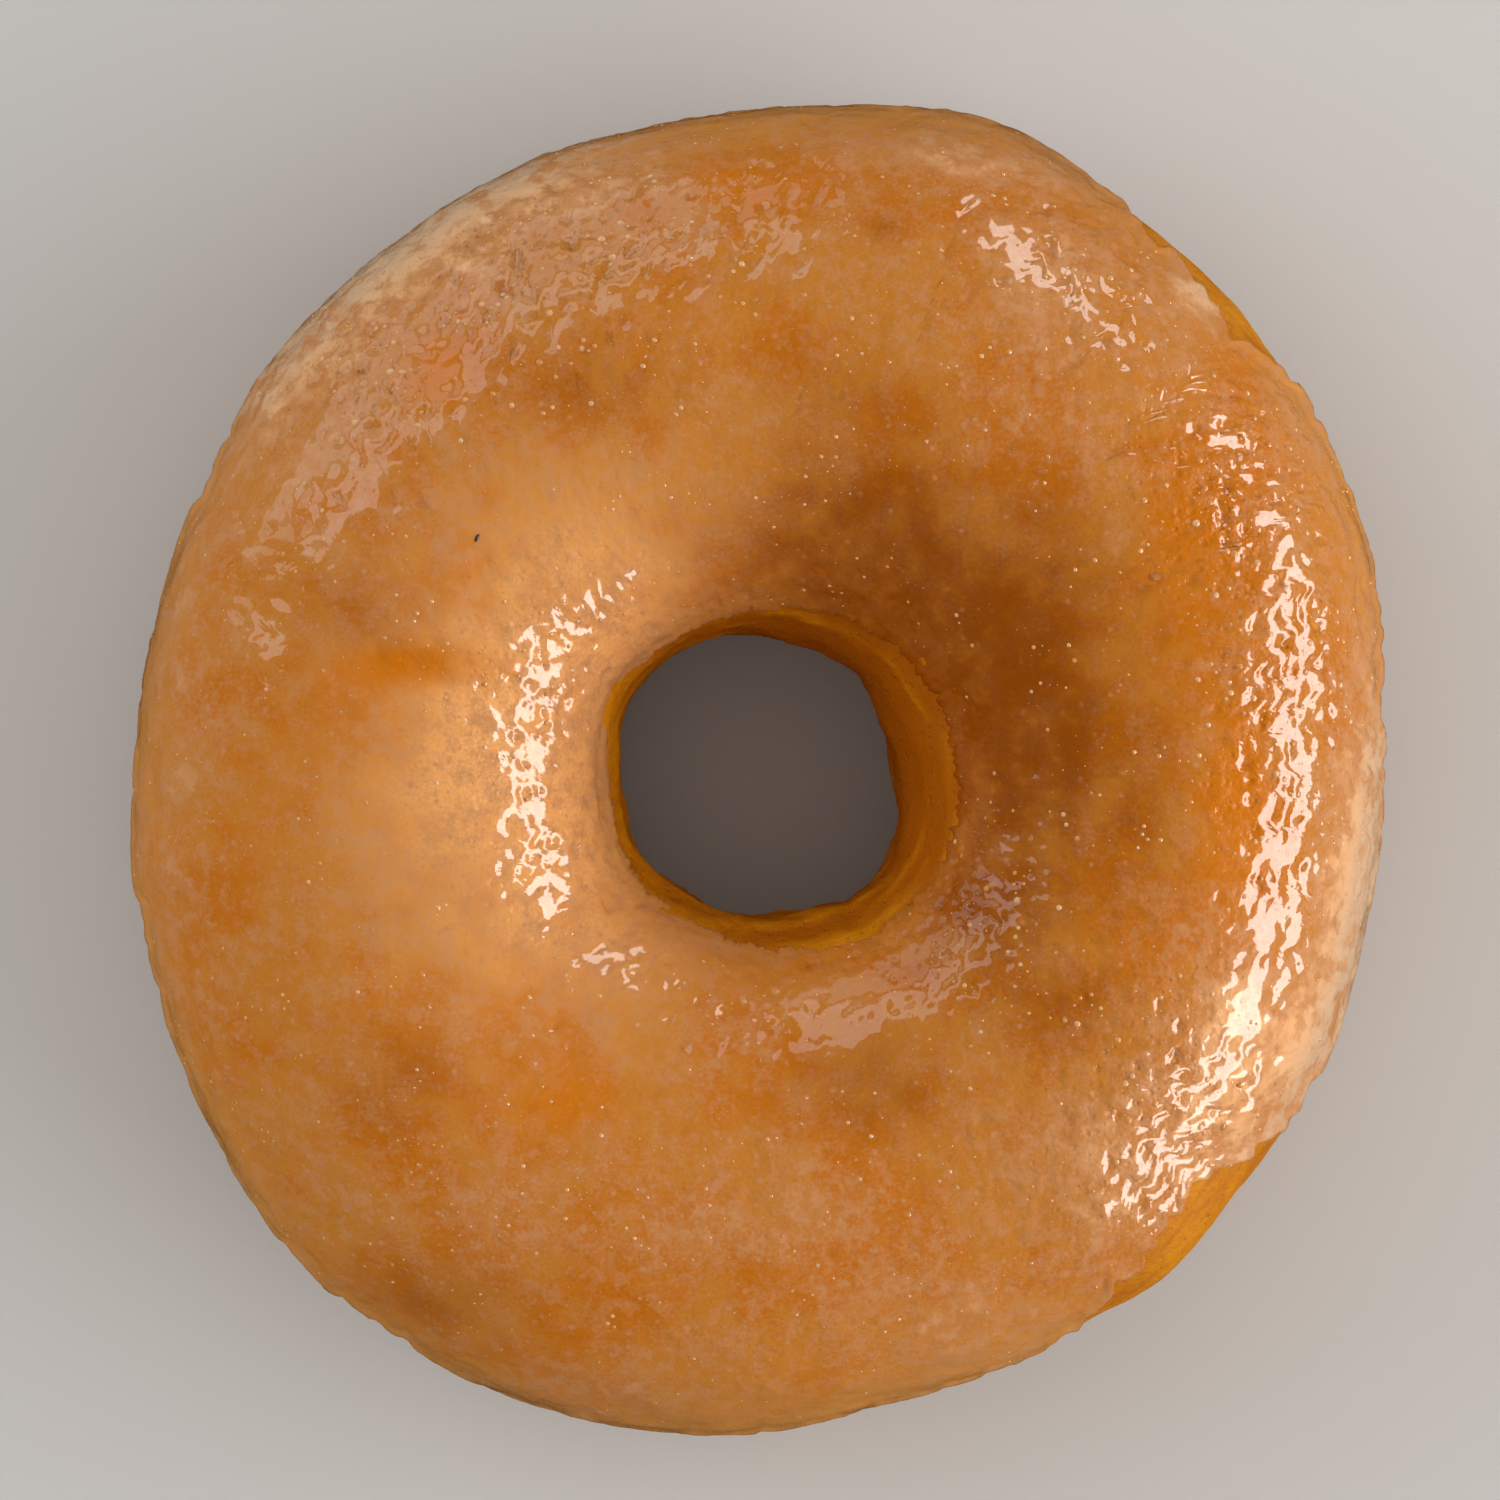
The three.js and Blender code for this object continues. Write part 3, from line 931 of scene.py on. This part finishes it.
def buildCrumbs(surface):
    corners = [corner.co for corner in surface.vertices]
    skin = BVHTree.FromPolygons(corners, [face.vertices for face in surface.polygons])
    chance = np.random.default_rng(crumbForm["seed"])
    solid = bmesh.new()
    dark = solid.verts.layers.float.new("dark")
    for crumb in crumbs:
        above = Vector((crumb["x"], crumb["y"], crumbForm["dropHeight"])) * millimetre
        place, normal, _, _ = skin.ray_cast(above, Vector((0, 0, -1)))
        corners = bmesh.ops.create_icosphere(solid, subdivisions=2, radius=1.0)["verts"]
        turned = normal.to_track_quat("Z", "Y").to_matrix()
        for corner in corners:
            corner[dark] = crumb["dark"]
            uneven = corner.co * chance.uniform(*crumbForm["unevenness"])
            corner.co = place + turned @ (uneven * Vector(crumb["size"])) * millimetre
    mesh = bpy.data.meshes.new("crumbs")
    solid.to_mesh(mesh)
    solid.free()
    mesh.materials.append(makeCrumbMaterial())
    piece = bpy.data.objects.new("crumbs", mesh)
    bpy.context.scene.collection.objects.link(piece)
    return piece


crumbPiece = buildCrumbs(glaze.data)

# The pieces stand in for the solid, which is hidden

for piece, slot in ((dough, "crust"), (glaze, "glaze"), (beads, "glaze"), (crumbPiece, "crust")):
    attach(piece, "root")
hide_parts("doughnut")
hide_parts("doughnut")
print("pieces placed")

# Floor, light and camera

studio = {
    "floorSize": 4.0,  # metres, as are the other lengths here
    "aimHeight": 0.02,  # all lights face this height over the middle of the floor
    "floorLevel": -0.00002,  # just under the base
    "floorColour": (0.64, 0.63, 0.61, 1),
    "roomColour": (1.0, 0.97, 0.93, 1),
    "roomStrength": 0.52,
    # Mirrored lights show in the glaze and soft ones shade it.
    "mirrored": {
        "keyPanel": {
            "azimuth": -12,
            "elevation": 14,
            "distance": 0.55,
            "size": (0.76, 0.18),
            "radiance": 13.0,
        },
        "cornerPanel": {
            "azimuth": 58,
            "elevation": 20,
            "distance": 0.8,
            "size": (0.26, 0.16),
            "radiance": 8.0,
        },
        "windowTop": {
            "azimuth": 130,
            "elevation": 37,
            "distance": 0.8,
            "size": (0.9, 0.2),
            "radiance": 2.5,
        },
        "windowFoot": {
            "azimuth": 127,
            "elevation": 12,
            "distance": 0.8,
            "size": (1.05, 0.34),
            "radiance": 1.4,
        },
    },
    "soft": {
        "keyGlow": {
            "azimuth": -8,
            "elevation": 24,
            "distance": 0.7,
            "size": (0.8, 0.5),
            "radiance": 3.0,
        },
        "windowGlow": {
            "azimuth": 158,
            "elevation": 28,
            "distance": 0.8,
            "size": (0.8, 0.5),
            "radiance": 1.9,
        },
    },
    "keyColour": (1.0, 0.96, 0.95),
    "windowColour": (0.94, 0.97, 1.0),  # daylight is cooler
}


def placeLight(name, place, mirrored):
    width, height = place["size"]
    light = bpy.data.lights.new(name, "AREA")
    light.shape = "RECTANGLE"
    light.size, light.size_y = width, height
    light.energy = place["radiance"] * math.pi * width * height
    light.color = studio["windowColour" if name.startswith("window") else "keyColour"]
    azimuth, elevation = math.radians(place["azimuth"]), math.radians(place["elevation"])
    level = Vector((math.cos(azimuth), math.sin(azimuth), 0))
    towards = level * math.cos(elevation) + Vector((0, 0, math.sin(elevation)))
    lamp = bpy.data.objects.new(name, light)
    lamp.location = Vector((0, 0, studio["aimHeight"])) + towards * place["distance"]
    lamp.rotation_euler = towards.to_track_quat("Z", "Y").to_euler()
    lamp.visible_glossy, lamp.visible_diffuse = mirrored, not mirrored
    bpy.context.scene.collection.objects.link(lamp)


for name, place in studio["mirrored"].items():
    placeLight(name, place, True)
for name, place in studio["soft"].items():
    placeLight(name, place, False)

world = bpy.data.worlds.new("studioWorld")
world.use_nodes = True
background = world.node_tree.nodes["Background"]
background.inputs["Color"].default_value = studio["roomColour"]
background.inputs["Strength"].default_value = studio["roomStrength"]
bpy.context.scene.world = world
world.cycles_visibility.glossy = False

floorMaterial, floorFlow = newMaterial("paleFloor")
finishMaterial(floorFlow, {"Base Color": studio["floorColour"], "Roughness": 0.85})
reach, level = studio["floorSize"] / 2, studio["floorLevel"]
floorCorners = [(x * reach, y * reach, level) for x, y in ((-1, -1), (1, -1), (1, 1), (-1, 1))]
floorMesh = bpy.data.meshes.new("floor")
floorMesh.from_pydata(floorCorners, [], [(0, 1, 2, 3)])
floorMesh.materials.append(floorMaterial)
floor = bpy.data.objects.new("floor", floorMesh)
bpy.context.scene.collection.objects.link(floor)
floor.visible_glossy = False

photo = {
    "width": 1500,  # pixels, a square picture
    "middle": (760.5, 769.5),  # the middle of the outline in it
    "millimetresPerPixel": 0.07055,  # at the height of the waist
    "cameraHeight": 600,  # above the waist
}
camera = bpy.data.objects.new("camera", bpy.data.cameras.new("camera"))
photoWidth = photo["width"] * photo["millimetresPerPixel"]
camera.data.lens = camera.data.sensor_width * photo["cameraHeight"] / photoWidth
camera.location = Vector(
    (
        (photo["width"] / 2 - photo["middle"][0]) * photo["millimetresPerPixel"],
        (photo["middle"][1] - photo["width"] / 2) * photo["millimetresPerPixel"],
        ring["waistHeight"] + photo["cameraHeight"],
    )
) * millimetre
bpy.context.scene.collection.objects.link(camera)
bpy.context.scene.camera = camera
bpy.context.scene.view_settings.view_transform = "Standard"
print("studio ready")
